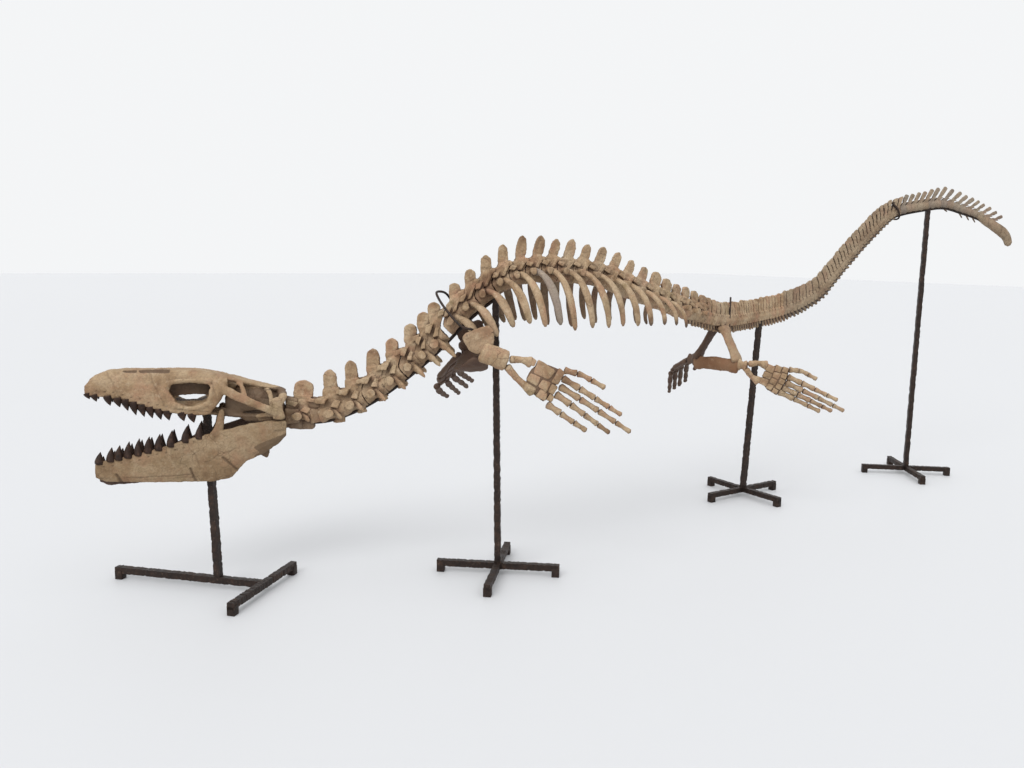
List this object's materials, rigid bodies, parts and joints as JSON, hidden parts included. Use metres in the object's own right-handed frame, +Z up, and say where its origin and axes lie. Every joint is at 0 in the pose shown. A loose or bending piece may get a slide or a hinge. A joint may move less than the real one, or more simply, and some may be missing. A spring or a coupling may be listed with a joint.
{
  "type": "mounted marine reptile skeleton",
  "caption": "Long swimming reptile skeleton with open toothed jaws, ribs, paddles and raised tail, held on iron poles with flat crossed feet.",
  "frame": {"origin": "on the floor, under the middle of the mount's overall box", "axes": "+Z up, the head points to -X and the tail to +X, the animal's left side faces -Y"},
  "size_m": [5.795, 1.4193, 1.9766],
  "materials": {
    "fossil_bone": "dry matt fossil bone, tan to khaki",
    "forged_iron": "hammered, dark brown patina"
  },
  "bodies": {
    "root": {"back_left": "fossil_bone", "back_right": "fossil_bone", "chest_left": "fossil_bone", "chest_right": "fossil_bone", "coracoid_left": "fossil_bone", "coracoid_right": "fossil_bone", "femur_left": "fossil_bone", "femur_right": "fossil_bone", "humerus_left": "fossil_bone", "humerus_right": "fossil_bone", "ilium_left": "fossil_bone", "ilium_right": "fossil_bone", "jaw_left": "fossil_bone", "jaw_right": "fossil_bone", "loin": "fossil_bone", "neck": "fossil_bone", "paddle_front_left": "fossil_bone", "paddle_front_right": "fossil_bone", "paddle_hind_left": "fossil_bone", "paddle_hind_right": "fossil_bone", "pubis_left": "fossil_bone", "pubis_right": "fossil_bone", "scapula_left": "fossil_bone", "scapula_right": "fossil_bone", "skull": "fossil_bone", "tail_arch": "fossil_bone", "tail_base": "fossil_bone", "tail_end": "fossil_bone", "tail_rise": "fossil_bone", "stand_chest_base": "forged_iron", "stand_chest_pole": "forged_iron", "stand_head_base": "forged_iron", "stand_head_pole": "forged_iron", "stand_hip_base": "forged_iron", "stand_hip_hoop": "forged_iron", "stand_hip_pole": "forged_iron", "stand_shoulder_hoop": "forged_iron", "stand_tail_base": "forged_iron", "stand_tail_hoop": "forged_iron", "stand_tail_pole": "forged_iron"}
  },
  "joints": []
}
